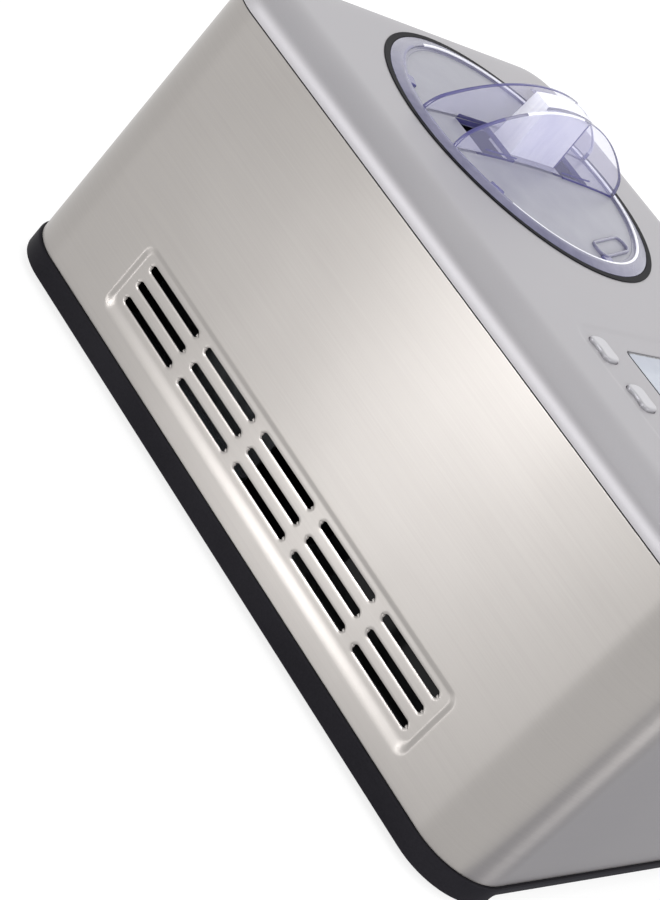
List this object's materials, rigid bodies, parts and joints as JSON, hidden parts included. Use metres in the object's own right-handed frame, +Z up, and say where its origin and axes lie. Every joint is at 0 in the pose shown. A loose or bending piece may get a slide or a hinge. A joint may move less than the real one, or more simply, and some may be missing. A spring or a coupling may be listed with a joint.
{
  "type": "ice cream maker",
  "caption": "Compressor ice cream maker: brushed steel housing on a black base, clear lid with an arched handle over a lift-out bowl, turning paddle, push buttons and display.",
  "frame": {"origin": "middle of the footprint, on the surface that the feet stand on", "axes": "+Z up, -Y towards the front with the controls, +X to the right as the user stands in front, so +Y runs to the back where the bowl is"},
  "size_m": [0.271, 0.403, 0.2244],
  "materials": {
    "steel_wrap": "brushed stainless steel, grain along the sides",
    "cover_silver": "silver-grey satin finish",
    "base_black": "moulded black plastic",
    "ring_black": "moulded black plastic, glossy",
    "seam_rubber": "black rubber",
    "foot_rubber": "black rubber",
    "lid_clear": "clear moulded plastic with a faint lilac tint",
    "window_clear": "tinted clear plastic",
    "button_silver": "silver-coated plastic",
    "bowl_aluminium": "satin anodised aluminium",
    "well_aluminium": "drawn aluminium",
    "paddle_white": "moulded white plastic",
    "foam_white": "rigid foam",
    "shaft_steel": "ground steel",
    "sheet_steel": "zinc-plated sheet steel",
    "gear_nylon": "natural nylon",
    "gear_brass": "plain brass",
    "case_grey": "moulded grey plastic",
    "motor_paint": "plated steel can",
    "pump_paint": "black stove enamel",
    "fin_aluminium": "bare aluminium",
    "fan_black": "moulded black plastic",
    "pipe_copper": "bare copper",
    "board_green": "green solder mask",
    "display_dark": "grey liquid-crystal glass"
  },
  "bodies": {
    "housing": {"base_tray": "base_black", "rubber_feet": "foot_rubber", "body_wrap": "steel_wrap", "seam_gasket": "seam_rubber", "top_cover": "cover_silver", "lid_ring": "ring_black", "cooling_well": "well_aluminium", "evaporator_jacket": "well_aluminium", "insulation_foam": "foam_white", "gear_pin": "shaft_steel", "shaft_seal": "seam_rubber", "gearbox_case": "case_grey", "gearbox_cover": "case_grey", "paddle_motor": "motor_paint", "motor_bracket": "sheet_steel", "compressor_shell": "pump_paint", "compressor_plate": "sheet_steel", "compressor_mounts": "foot_rubber", "terminal_box": "case_grey", "condenser_core": "fin_aluminium", "condenser_tanks": "fin_aluminium", "fan_shroud": "fan_black", "fan_motor": "motor_paint", "filter_drier": "pipe_copper", "liquid_pipe": "pipe_copper", "capillary_pipe": "pipe_copper", "suction_pipe": "pipe_copper", "discharge_pipe": "pipe_copper", "control_board": "board_green", "display_module": "display_dark", "display_window": "window_clear", "button_switches": "fan_black", "cord_gland": "base_black"},
    "bowl": {"bowl": "bowl_aluminium"},
    "lid": {"lid": "lid_clear"},
    "paddle": {"paddle": "paddle_white"},
    "drive": {"drive_shaft": "shaft_steel", "output_gear": "gear_nylon"},
    "double_gear": {"double_gear": "gear_nylon"},
    "motor_pinion": {"motor_pinion": "gear_brass"},
    "fan_rotor": {"fan_rotor": "fan_black"},
    "button_left_back": {"button_left_back": "button_silver"},
    "button_left_front": {"button_left_front": "button_silver"},
    "button_right_back": {"button_right_back": "button_silver"},
    "button_right_front": {"button_right_front": "button_silver"}
  },
  "joints": [
    {"name": "bowl_lift", "type": "slide", "parent": "housing", "child": "bowl", "axis": [0, 0, 1], "range_m": [0, 0.13]},
    {"name": "lid_lift", "type": "slide", "parent": "bowl", "child": "lid", "axis": [0, 0, 1], "range_m": [0, 0.12]},
    {"name": "paddle_spin", "type": "hinge", "parent": "bowl", "child": "paddle", "pos_m": [0, 0.093, 0.11], "axis": [0, 0, 1], "continuous": true},
    {"name": "drive_spin", "type": "hinge", "parent": "housing", "child": "drive", "pos_m": [0, 0.093, 0.06], "axis": [0, 0, 1], "continuous": true},
    {"name": "double_gear_spin", "type": "hinge", "parent": "housing", "child": "double_gear", "pos_m": [0, 0.063, 0.043], "axis": [0, 0, 1], "continuous": true},
    {"name": "motor_spin", "type": "hinge", "parent": "housing", "child": "motor_pinion", "pos_m": [0, 0.039, 0.038], "axis": [0, 0, 1], "continuous": true},
    {"name": "fan_spin", "type": "hinge", "parent": "housing", "child": "fan_rotor", "pos_m": [0.08, -0.105, 0.063], "axis": [1, 0, 0], "continuous": true},
    {"name": "button_left_back_press", "type": "slide", "parent": "housing", "child": "button_left_back", "axis": [0, 0, -1], "range_m": [0, 0.0015], "stiffness_N_per_m": 600},
    {"name": "button_left_front_press", "type": "slide", "parent": "housing", "child": "button_left_front", "axis": [0, 0, -1], "range_m": [0, 0.0015], "stiffness_N_per_m": 600},
    {"name": "button_right_back_press", "type": "slide", "parent": "housing", "child": "button_right_back", "axis": [0, 0, -1], "range_m": [0, 0.0015], "stiffness_N_per_m": 600},
    {"name": "button_right_front_press", "type": "slide", "parent": "housing", "child": "button_right_front", "axis": [0, 0, -1], "range_m": [0, 0.0015], "stiffness_N_per_m": 600}
  ],
  "couplings": [
    {"joint": "paddle_spin", "follows": "drive_spin", "ratio": 1},
    {"joint": "double_gear_spin", "follows": "drive_spin", "ratio": -3},
    {"joint": "motor_spin", "follows": "drive_spin", "ratio": 9}
  ]
}
